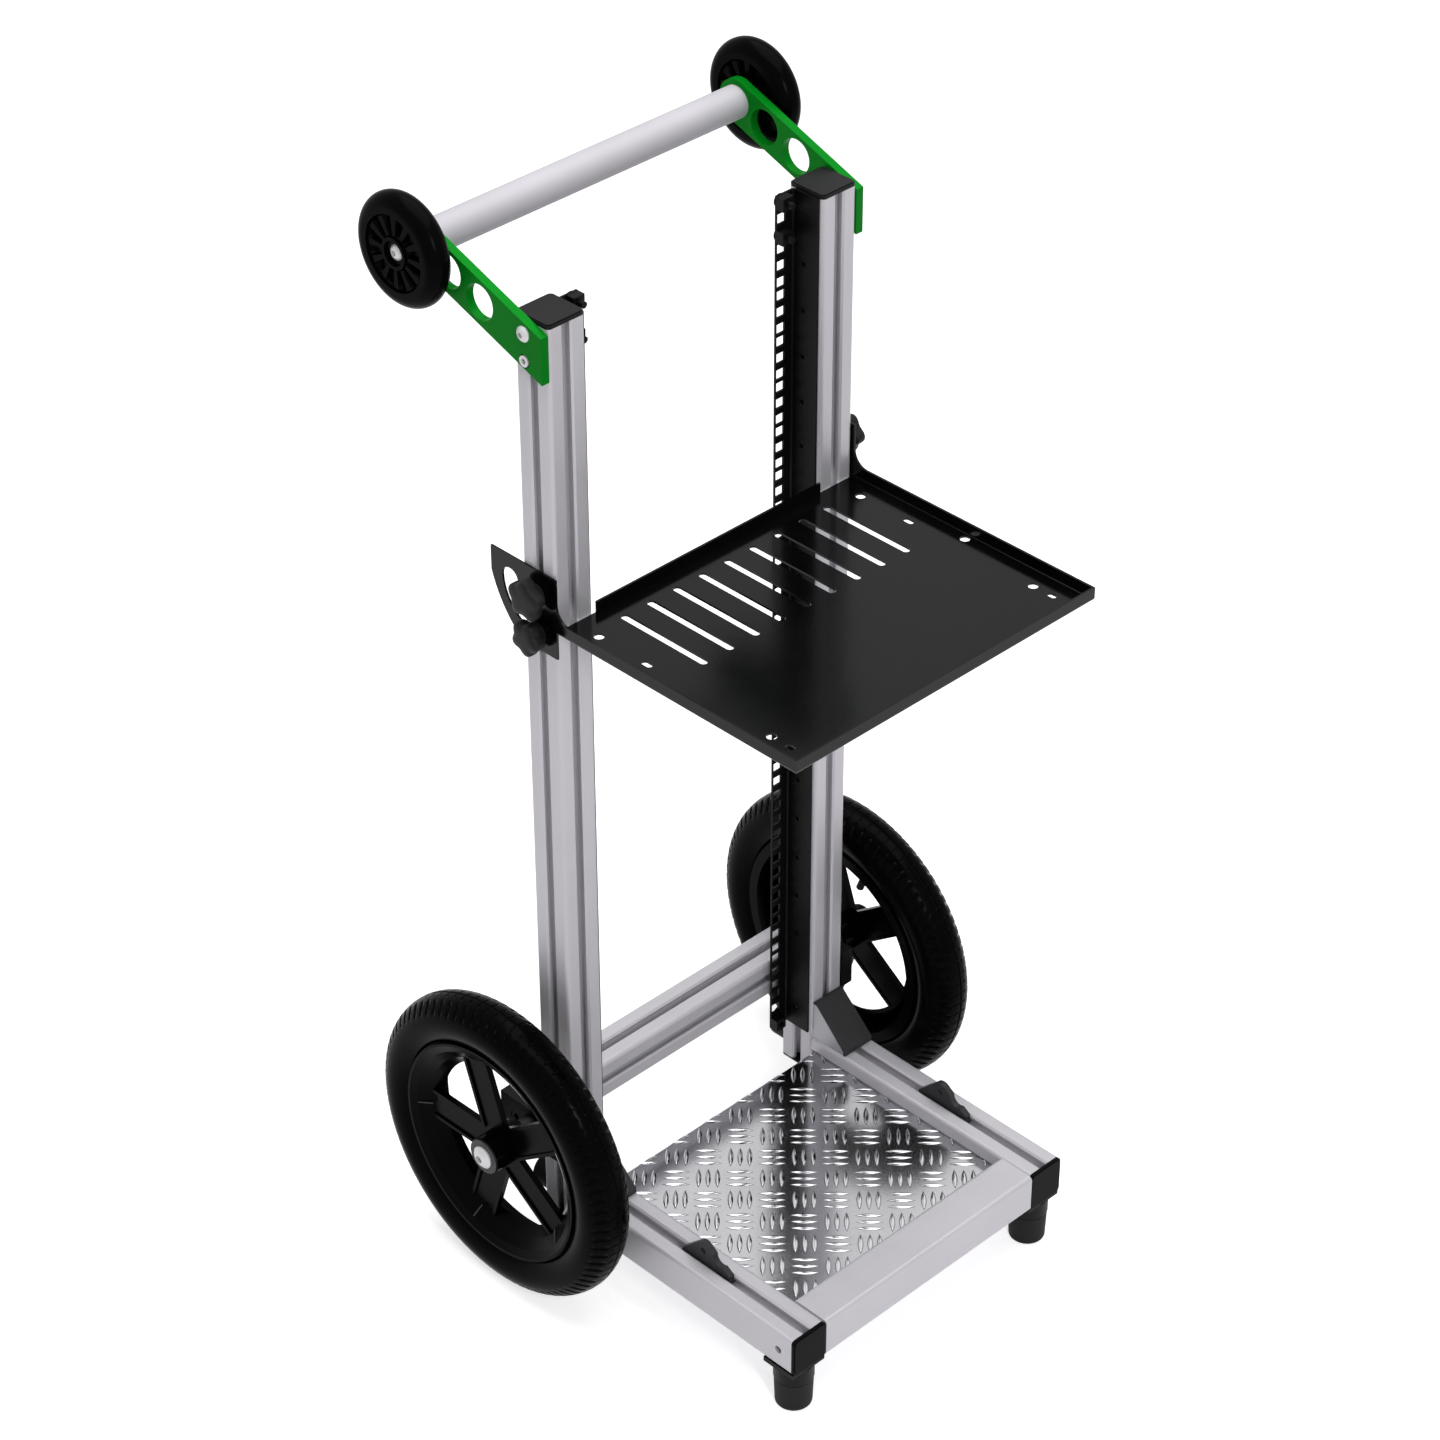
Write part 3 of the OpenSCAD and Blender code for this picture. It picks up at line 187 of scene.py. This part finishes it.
def surface(tree, shader, light, dark, grain_mm, rough, bump_mm, stretch=(1, 1, 1)):
    """Half a noise of the grain's size plus one of a hand's breadth blends two colours and moves
    the roughness, and the grain alone bumps the surface. Real grain is finer than a point of the
    picture, so it is drawn coarser, at the size given. Returns the object coordinates' node."""
    place = add(tree, "ShaderNodeTexCoord")
    scale = add(tree, "ShaderNodeMapping", Vector=(place, "Object"), Scale=stretch)
    grain = add(tree, "ShaderNodeTexNoise", Vector=(scale, 0), Scale=1 / (grain_mm * mm), Detail=3.0)
    cloud = add(tree, "ShaderNodeTexNoise", Vector=(place, "Object"), Scale=1 / cloud_size, Detail=2.0)
    blend = add(tree, "ShaderNodeMath", {"operation": "MULTIPLY_ADD"}, _0=(grain, 0),
                _1=grain_share, _2=(cloud, 0))
    share = add(tree, "ShaderNodeMapRange", Value=(blend, 0), From_Min=noise_low,
                From_Max=noise_high)
    gloss = add(tree, "ShaderNodeMapRange", Value=(blend, 0), From_Min=noise_low,
                From_Max=noise_high, To_Min=rough[0], To_Max=rough[1])
    mix = add(tree, "ShaderNodeMix", {"data_type": "RGBA"}, _0=(share, 0), _6=linear(dark),
              _7=linear(light))
    bump = add(tree, "ShaderNodeBump", Height=(grain, 0), Distance=bump_mm * mm,
               Strength=bump_strength)
    tree.links.new(mix.outputs[2], shader.inputs["Base Color"])
    tree.links.new(gloss.outputs[0], shader.inputs["Roughness"])
    tree.links.new(bump.outputs[0], shader.inputs["Normal"])
    return place


def dress(material, *names):
    """Gives CAD nodes a material in place of their own."""
    for name in names:
        node[name].data.materials.clear()
        node[name].data.materials.append(material)


def extrusion(name, stretch):
    """The profiles' finish, with its grain drawn out into die lines along one axis."""
    made, tree, shader = new_material(name, Metallic=0.3)
    surface(tree, shader, "#cfcdd2", "#c5c3c8", 1.2, (0.42, 0.52), 0.03, stretch)
    return made


upright_aluminium = extrusion("anodised_aluminium_upright", (1, 1, drawn_out))
rail_aluminium = extrusion("anodised_aluminium_rail", (1, drawn_out, 1))
cross_aluminium = extrusion("anodised_aluminium_cross", (drawn_out, 1, 1))
dress(upright_aluminium, "post_left", "post_right")
dress(rail_aluminium, "side_rail_left", "side_rail_right")
dress(cross_aluminium, "front_crossbar", "cross_rail")

# Caps and covers: moulded polyamide with a fine spark texture, pressed on the ends of the
# profiles and snapped over the corner brackets. The texture scatters light: the posts' caps look
# soft and black, and the brackets' covers matt dark grey. The rails' end caps face sideways and take a
# darker copy of the same black, a painted shade.
cap_plastic, tree, shader = new_material("moulded_polyamide_black", Specular_IOR_Level=0.12)
surface(tree, shader, "#161617", "#0e0e0f", 0.8, (0.4, 0.55), 0.04)
dress(cap_plastic, "post_top_caps", "post_bottom_caps", "foot_collars")
# Painted shade: a darker copy of the cap plastic for the rails' sideways-facing end caps.
shaded_cap_plastic, tree, shader = new_material("moulded_polyamide_black_painted_shade", Specular_IOR_Level=0.04)
surface(tree, shader, "#0e0e0f", "#080809", 0.8, (0.4, 0.55), 0.04)
dress(shaded_cap_plastic, "rail_end_caps")
cover_plastic, tree, shader = new_material("moulded_polyamide_grey", Specular_IOR_Level=0.3)
surface(tree, shader, "#343436", "#2a2a2c", 0.8, (0.5, 0.65), 0.04)
dress(cover_plastic, "bracket_covers")

# Feet, bumpers, gaskets, valves and bearing seals: moulded black rubber, screwed below the frame,
# laid in its slots or pressed in the wheels. The skin is dry and matt, with hardly a gleam.
black_rubber, tree, shader = new_material("moulded_rubber_black", Specular_IOR_Level=0.2)
surface(tree, shader, "#202021", "#161617", 1.0, (0.65, 0.8), 0.05)
dress(black_rubber, "foot_rubbers", "rear_bumpers", "deck_gaskets", "valve_left", "valve_right",
      "handle_bearings_left", "handle_bearings_right")

# Brackets and lugs: cast aluminium brackets, blasted and clear anodised to an even soft grey, and
# lugs, washers and spacers with a dark grey powder coat that shows only a dull gleam.
cast_aluminium, tree, shader = new_material("cast_aluminium_blasted", Metallic=0.8)
surface(tree, shader, "#b2b2b6", "#a2a2a6", 0.9, (0.45, 0.6), 0.05)
dress(cast_aluminium, "corner_bracket_left", "corner_bracket_right")
grey_paint, tree, shader = new_material("powder_coat_dark_grey", Specular_IOR_Level=0.3)
surface(tree, shader, "#2b2b2d", "#212123", 0.7, (0.4, 0.55), 0.04)
dress(grey_paint, "tie_down_lugs", "axle_washers", "wheel_spacers")

# Black plates and rack rails: cut and folded steel with a satin black powder coat, bolted to the
# profiles with black screws. The coat takes nearly all light and leaves a faint sheen.
black_paint, tree, shader = new_material("powder_coat_black_satin", Specular_IOR_Level=0.1)
surface(tree, shader, "#0b0b0c", "#060607", 0.7, (0.4, 0.55), 0.04)
dress(black_paint, "axle_plate_left", "axle_plate_right", "axle_plate_screws", "foot_plates",
      "rack_rail_left", "rack_rail_right", "rack_screws", "cage_nuts", "rack_rail_screws")

# Screws: turned steel, zinc plated and a little shiny, and stainless bolts with rounded heads,
# blasted to a pale even satin. They hold the crossbar, brackets, feet, wheels and handlebar.
zinc_steel, tree, shader = new_material("zinc_plated_steel", Metallic=1.0)
surface(tree, shader, "#c9c9cc", "#b4b4b8", 0.5, (0.25, 0.4), 0.01)
dress(zinc_steel, "crossbar_screws", "bracket_screws", "foot_screws", "bumper_screws",
      "slot_nuts", "tube_plugs", "shelf_studs", "wheel_bearings_left", "wheel_bearings_right")
stainless, tree, shader = new_material("stainless_steel_blasted", Metallic=0.5)
surface(tree, shader, "#dcdcde", "#cececf", 0.6, (0.4, 0.5), 0.01)
dress(stainless, "axle_bolts", "handle_bolts", "handle_screws", "handle_lock_screws")

# Rims: five-spoke wheels moulded in black glass-filled nylon, whose smooth skin is black with
# thin glints. At the end of each spoke a low fin stands on the rim's cone. The fin is drawn in the
# grey cover plastic, a painted highlight for the light its thin edge catches.
rim_nylon, tree, shader = new_material("moulded_nylon_black", Specular_IOR_Level=0.025)
surface(tree, shader, "#060607", "#030303", 1.1, (0.2, 0.3), 0.03)
dress(rim_nylon, "rim_left", "rim_right")
axle = np.array((220, 84.5, 152)) * mm
spokes = 5
fin_turn = math.radians(-1)
fin_foot = np.array(((8.0, 90.2), (16.6, 100.2))) * mm
fin_rise = np.array(((0.35, -0.94), (0.2, -0.3)))
fin_h = 1.5 * mm
fin_half = 0.7 * mm
fin_faces = np.array(((0, 1, 2, 3), (7, 6, 5, 4), (0, 4, 5, 1), (1, 5, 6, 2), (2, 6, 7, 3),
                      (3, 7, 4, 0)))


def fins(side):
    """Four-sided plates in radial planes, one for each spoke. The foot's two ends, each a place
    along the axle and a radius, lie in the cone, and the crest is the foot plus the rise."""
    edge = np.concatenate((fin_foot, (fin_foot + fin_rise * fin_h)[::-1]))
    turn = (fin_turn + np.arange(spokes) * 2 * math.pi / spokes)[:, None, None]
    shift = np.array((-fin_half, fin_half))[None, :, None]
    y = axle[1] + edge[:, 1] * np.cos(turn) - shift * np.sin(turn)
    z = axle[2] + edge[:, 1] * np.sin(turn) + shift * np.cos(turn)
    x = np.broadcast_to(side * (axle[0] + edge[:, 0]), y.shape)
    faces = np.arange(spokes)[:, None, None] * 8 + fin_faces[:, ::side]
    return np.stack((x, y, z), -1).reshape(-1, 3), faces.reshape(-1, 4)


for side, name in ((-1, "left"), (1, "right")):
    # The fins take the grey cover plastic as a painted highlight on the black rim.
    mesh_piece("rim_fins_" + name, *fins(side), cover_plastic, "wheel_" + name, "rim", smooth=False)

# Tyres: moulded rubber with small blocks on both sides of a centre groove. Each is a hollow ring
# whose beads sit in the rim's well. The rubber is nearly black with one soft streak of light.
tyre_rubber, tree, shader = new_material("vulcanised_rubber_black", Specular_IOR_Level=0.02)
surface(tree, shader, "#060607", "#030303", 1.3, (0.18, 0.26), 0.03)
tyre_r = 152 * mm
section_r = 24 * mm
inner_r = 19.5 * mm
inner_reach = math.radians(120)
inner_points = 15
bead_foot = np.array(((16.6, 110.7), (16.6, 104.5), (11.6, 104.5), (11.6, 112))) * mm
blocks = 84
block_steps = np.array((-0.2, -0.09, -0.045, 0, 0.045, 0.09, 0.2, 0.35, 0.5, 0.65))
arc_steps = np.array((0, 0.7, 1.3, 2.2, 5, 7, 8, 10, 11.5, 14, 17, 20, 23, 25, 27, 30, 34, 38, 43,
                      48, 52, 56)) * mm
cut_half = 0.05
notch_half = 0.2
groove_depth = 1.4 * mm
centre_share = 0.7
cut_share = 0.5
centre_edge = np.array((0.6, 1.4)) * mm
cut_edges = np.array((1.0, 2.2, 7, 8)) * mm
notch_edges = np.array((11, 14, 23, 27)) * mm
tread_half = 26 * mm
tread_slant = 0.35


def ramp(value, start, end):
    """Smooth step: 0 before start, 1 after end, with no slope at either."""
    share = np.clip((value - start) / (end - start), 0, 1)
    return share * share * (3 - 2 * share)


def grid_faces(rows, columns, wrap_rows=False, wrap_columns=False):
    """Quads between neighbouring points of a grid whose points are stored row by row."""
    r = np.arange(rows if wrap_rows else rows - 1)[:, None]
    c = np.arange(columns if wrap_columns else columns - 1)[None, :]
    r2, c2 = (r + 1) % rows, (c + 1) % columns
    corners = (r * columns + c, r * columns + c2, r2 * columns + c2, r2 * columns + c)
    return np.stack(corners, -1).reshape(-1, 4)


def around(side, centre, across, up, wheel, capped=False):
    """A section (across along the axis outward, up from the axis) turned through the angles of
    wheel: a ring of a closed section, or a body of an open one whose two ends are capped."""
    x = side * (abs(centre[0]) + across)
    points = np.stack((x, centre[1] + up * np.cos(wheel), centre[2] + up * np.sin(wheel)), -1)
    rows, columns = points.shape[:2]
    faces = grid_faces(rows, columns, wrap_rows=True, wrap_columns=not capped).tolist()
    if capped:
        firsts = list(range(0, rows * columns, columns))
        faces += [firsts, [first + columns - 1 for first in firsts[::-1]]]
    return points.reshape(-1, 3), [face[::-1] for face in faces] if side > 0 else faces


def tyre(side):
    """Ring section swept round the axle. A centre groove, fine cuts beside it and wider notches at
    the shoulders press its outer arc in; the cuts slant, so the turn of each point grows with its
    distance from the crown."""
    count = (np.arange(blocks)[:, None] + block_steps).reshape(-1, 1)
    cut = np.tile(np.abs(block_steps) < cut_half, blocks)[:, None]
    notch = np.tile(1 - ramp(np.abs(block_steps), cut_half, notch_half), blocks)[:, None]
    from_crown = np.concatenate((-arc_steps[:0:-1], arc_steps))[None, :]
    off = np.abs(from_crown)
    cuts = cut_share * cut * ramp(off, *cut_edges[:2]) * (1 - ramp(off, *cut_edges[2:]))
    notches = notch * ramp(off, *notch_edges[:2]) * (1 - ramp(off, *notch_edges[2:]))
    middle = centre_share * (1 - ramp(off, *centre_edge))
    radius = section_r - groove_depth * np.maximum(np.maximum(cuts, middle), notches)
    arc = from_crown / section_r
    across, up = radius * np.sin(arc), tyre_r - section_r + radius * np.cos(arc)
    slant = tread_slant * np.minimum(off, tread_half) / tread_half
    slant = slant * (1 - ramp(off, tread_half, 2 * tread_half))
    back = np.linspace(1, -1, inner_points) * inner_reach
    inside = np.stack((inner_r * np.sin(back), tyre_r - section_r + inner_r * np.cos(back)), -1)
    section = np.concatenate((bead_foot, inside, bead_foot[::-1] * (-1, 1)))
    ones = np.ones_like(count)
    across = np.concatenate((across, ones * section[:, 0]), 1)
    up = np.concatenate((up, ones * section[:, 1]), 1)
    slant = np.concatenate((ones * slant, ones * np.zeros(len(section))), 1)
    return around(side, axle, across, up, (count + slant) * 2 * math.pi / blocks)


for side, name in ((-1, "left"), (1, "right")):
    piece = mesh_piece("tyre_tread_" + name, *tyre(side), tyre_rubber, "wheel_" + name, "tyre")
    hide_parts("tyre_" + name)

# Deck: aluminium chequer plate, rolled bright, whose edges lie in the profiles' slots. Long
# lenses stand out of the sheet in threes, each three at right angles to the next, and run at 45
# degrees to the plate's edges. The metal mirrors the white room in soft patches.
bright_aluminium, tree, shader = new_material("rolled_aluminium_bright", Metallic=1.0)
surface(tree, shader, "#d2d2d5", "#b8b8bc", 2.0, (0.1, 0.18), 0.02)
dress(bright_aluminium, "deck_plate")
deck_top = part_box("deck_plate")[1][2]
bare = np.array(((-134.2, -197.3), (134.2, 40.0))) * mm
group_pitch = 29.4 * mm
group_start = np.array((-0.4, 27.7)) * mm
group_reach = 12
pattern_y = 44.5 * mm
lens_pitch = 8.7 * mm
lens_l = 26.5 * mm
lens_w = 5.8 * mm
lens_h = 1.3 * mm
lens_sunk = 0.25 * mm
lens_reach = 0.98
lens_rows = 9
lens_columns = 5
width_power = 0.8
height_power = 0.5
least_shown = 0.12
cut_squeeze = 0.004
root_two = math.sqrt(2)


def lens():
    """A pressed lens: its width follows a power of the cosine along its length, and its height
    another power of it and a parabola across. The underside is flat and lies in the sheet."""
    u, v = np.meshgrid(np.linspace(-lens_reach, lens_reach, lens_rows),
                       np.linspace(-1, 1, lens_columns), indexing="ij")
    taper = np.cos(u * math.pi / 2)
    half = 0.5 * lens_w * taper ** width_power
    top = (lens_h + lens_sunk) * (1 - v ** 2) * taper ** height_power - lens_sunk
    points = np.stack((0.5 * lens_l * u, half * v, top), -1).reshape(-1, 3)
    first = list(range(lens_columns))
    last = [point + (lens_rows - 1) * lens_columns for point in first[::-1]]
    skin = grid_faces(lens_rows, lens_columns, wrap_columns=True)[:, ::-1].tolist()
    return points, [*skin, first, last]


def lenses():
    """Copies of the lens at every place of the pattern that shows between the rails. Where a rail
    or the plate's edge cuts a lens, it is pressed flat, to a small share of what lies beyond."""
    shape, outline = lens()
    steps = np.arange(-group_reach, group_reach + 1)
    i, j = (a.ravel() for a in np.meshgrid(steps, steps, indexing="ij"))
    centre = group_start + np.stack((i, j), -1) * group_pitch
    points, faces = [], []
    for k in (-1, 0, 1):
        for turned, chosen in ((False, (i + j) % 2 == 0), (True, (i + j) % 2 == 1)):
            at = centre[chosen]
            local = shape[None] + (0, k * lens_pitch, 0)
            p = at[:, None, 0] + (local[..., 1] if turned else local[..., 0])
            q = at[:, None, 1] + (local[..., 0] if turned else local[..., 1])
            z = np.broadcast_to(local[..., 2], p.shape) + deck_top
            spots = np.stack(((p + q) / root_two, (p - q) / root_two + pattern_y, z), -1)
            kept = np.clip(spots[..., :2], bare[0], bare[1])
            shows = (kept == spots[..., :2]).all(-1).mean(1) > least_shown
            spots[..., :2] = kept + (spots[..., :2] - kept) * cut_squeeze
            for spot in spots[shows]:
                first = len(points) * len(shape)
                faces += [[first + n for n in (face if turned else face[::-1])] for face in outline]
                points.append(spot)
    return np.concatenate(points), faces


# Painted reflection: the lenses' base colour is painted dark grey at the sheet and bright from this
# height up. It stands in for the steep flanks mirroring the dark cart and the crowns mirroring the
# white room.
painted_reflection_h = 1.1 * mm
lens_aluminium, tree, shader = new_material("rolled_aluminium_lens_painted_reflection", Metallic=1.0)
place = surface(tree, shader, "#d2d2d5", "#b8b8bc", 2.0, (0.1, 0.18), 0.02)
height = add(tree, "ShaderNodeSeparateXYZ", Vector=(place, "Object"))
rise = add(tree, "ShaderNodeMapRange", Value=(height, 2), From_Min=float(deck_top),
           From_Max=float(deck_top + painted_reflection_h))
# Painted reflection in the base colour: dark grey low on the lens, pale higher up.
painted_reflection = add(tree, "ShaderNodeMix", {"data_type": "RGBA"}, _0=(rise, 0), _6=linear("#38383c"),
            _7=linear("#e2e2e5"))
tree.links.new(painted_reflection.outputs[2], shader.inputs["Base Color"])
mesh_piece("deck_lenses", *lenses(), lens_aluminium, "frame", "deck")

# Handlebar: a drawn aluminium tube with a soft matt anodising, held between two milled plates
# that are screwed to the posts. Their anodising is dyed bright green and keeps a satin gleam.
tube_aluminium, tree, shader = new_material("anodised_aluminium_tube", Metallic=0.1,
                                            Specular_IOR_Level=0.05)
surface(tree, shader, "#c0bec3", "#b8b6bb", 1.2, (0.5, 0.6), 0.02, (drawn_out, 1, 1))
dress(tube_aluminium, "handle_tube")
green_anodising, tree, shader = new_material("anodised_aluminium_green", Metallic=0.12,
                                             Specular_IOR_Level=0.03)
surface(tree, shader, "#04861f", "#037818", 0.9, (0.32, 0.45), 0.03)
dress(green_anodising, "handle_plate_left", "handle_plate_right")

# Small wheels on the handlebar's ends: a smooth cast polyurethane tyre with a full round crown
# round a dished disc with twelve low webs, pressed on two bearings. The black skin takes a soft
# gleam on its crown.
cast_urethane, tree, shader = new_material("cast_polyurethane_black", Specular_IOR_Level=0.02)
surface(tree, shader, "#050506", "#030303", 1.5, (0.2, 0.28), 0.02)
wheel_half = 12 * mm
crown_r = 38 * mm
disc_half = 6 * mm
front_section = np.array(((12, 11), (12, 14), (6, 14), (6, 33), (12, 33.5), (12, 38))) * mm
back_section = np.array(((-12, 38), (-12, 33.5), (-6, 33), (-6, 14), (-12, 14), (-12, 11),
                         (-5, 11), (-5, 6), (-0.1, 6), (-0.1, 11))) * mm
web_r = np.array((15, 17, 22, 27, 30, 32)) * mm
web_ends = np.array((0.9, 0, 0, 0, 0, 0.9))
webs = 12
web_h = 4.2 * mm
web_edge = 0.2
wheel_points = 192
crown_points = 25


def small_wheel(side, centre):
    """Closed section round the small wheel's axis, down its front and back dish and through its
    bore. A dish's floor rises to a web's top wherever the cosine of twelve times the angle is
    positive, and nearly as high all round at both ends of the webs."""
    wheel = np.linspace(0, 2 * math.pi, wheel_points, endpoint=False)[:, None]
    web = ramp(np.cos(webs * wheel), -web_edge, web_edge)
    ones = np.ones_like(wheel)
    crown = np.linspace(0, math.pi, crown_points)[1:-1]
    disc_a = disc_half + np.maximum(web, web_ends) * web_h
    across = np.concatenate((
        ones * front_section[:3, 0], disc_a, ones * front_section[3:, 0],
        ones * wheel_half * np.cos(crown),
        ones * back_section[:3, 0], -disc_a[:, ::-1], ones * back_section[3:, 0]), 1)
    up = np.concatenate((
        front_section[:3, 1], web_r, front_section[3:, 1],
        crown_r + wheel_half * np.sin(crown),
        back_section[:3, 1], web_r[::-1], back_section[3:, 1]))
    return around(side, centre, across[:, ::-1], ones * up[::-1], wheel)


for side, name in ((-1, "left"), (1, "right")):
    centre = np.mean(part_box("handle_wheel_" + name), 0)
    piece = mesh_piece("small_wheel_" + name, *small_wheel(side, centre), cast_urethane,
                       "small_wheel_" + name, "small_wheel")
    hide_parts("handle_wheel_" + name)

# Tray: folded sheet steel that hangs on the posts' T bolts, with a gloss black coat that mirrors
# its surroundings and shows a light orange peel.
gloss_coat, tree, shader = new_material("powder_coat_black_gloss", Specular_IOR_Level=0.16)
surface(tree, shader, "#060607", "#030304", 2.2, (0.12, 0.2), 0.04)
dress(gloss_coat, "shelf_tray")

# Star knobs: moulded black phenolic with five rounded lobes, screwed on the tray's T bolts. The
# moulded skin is an even dark grey without a clear reflection.
knob_plastic, tree, shader = new_material("moulded_phenolic_black", Specular_IOR_Level=0.12)
surface(tree, shader, "#222223", "#1a1a1b", 0.9, (0.4, 0.55), 0.03)
collar = np.array(((16.5, 0.5), (16.5, 4.15), (0, 4.15), (0, 9.4), (0.6, 10), (4.4, 10),
                   (5.0, 10.2))) * mm
grip_middle = 11.5 * mm
grip_half = 7 * mm
grip_arc = (-0.9, 1.568)
grip_points = 20
knob_points = 120
lobes = 5
lobe_share = 0.1
knob_y = 64.5 * mm
knobs = (("upper", "left", -1, 38 * mm, 733.5 * mm, 20),
         ("lower", "left", -1, 33 * mm, 695 * mm, 44),
         ("upper", "right", 1, 38 * mm, 733.5 * mm, 35),
         ("lower", "right", 1, 33 * mm, 695 * mm, 10))


def knob(side, centre, size, turn):
    """Lobed grip on a bored collar. The grip's radius is 0.9 plus 0.1 cos(5 angle) of the full one,
    and its section a rounded box: the square root of cosine and sine along the arc."""
    wheel = np.linspace(0, 2 * math.pi, knob_points, endpoint=False)[:, None]
    arc = np.linspace(*grip_arc, grip_points)[None, :]
    wave = np.cos(lobes * (wheel - math.radians(turn)))
    grip_r = size / 2 * (1 - lobe_share + lobe_share * wave)
    grip_a = grip_middle + grip_half * np.sign(arc) * np.sqrt(np.abs(np.sin(arc)))
    ones = np.ones_like(wheel)
    across = np.concatenate((ones * collar[:, 0], ones * grip_a), 1)
    up = np.concatenate((ones * collar[:, 1], grip_r * np.sqrt(np.cos(arc))), 1)
    return around(side, centre, across, up, wheel, capped=True)


for level, name, side, size, height, turn in knobs:
    cad = "knob_%s_%s" % (level, name)
    centre = (np.abs(np.array(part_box(cad))[:, 0]).min(), knob_y, height)
    piece = mesh_piece("star_" + cad, *knob(side, centre, size, turn), knob_plastic,
                       "%s_knob_%s" % (level, name), "knob")
    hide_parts(cad)
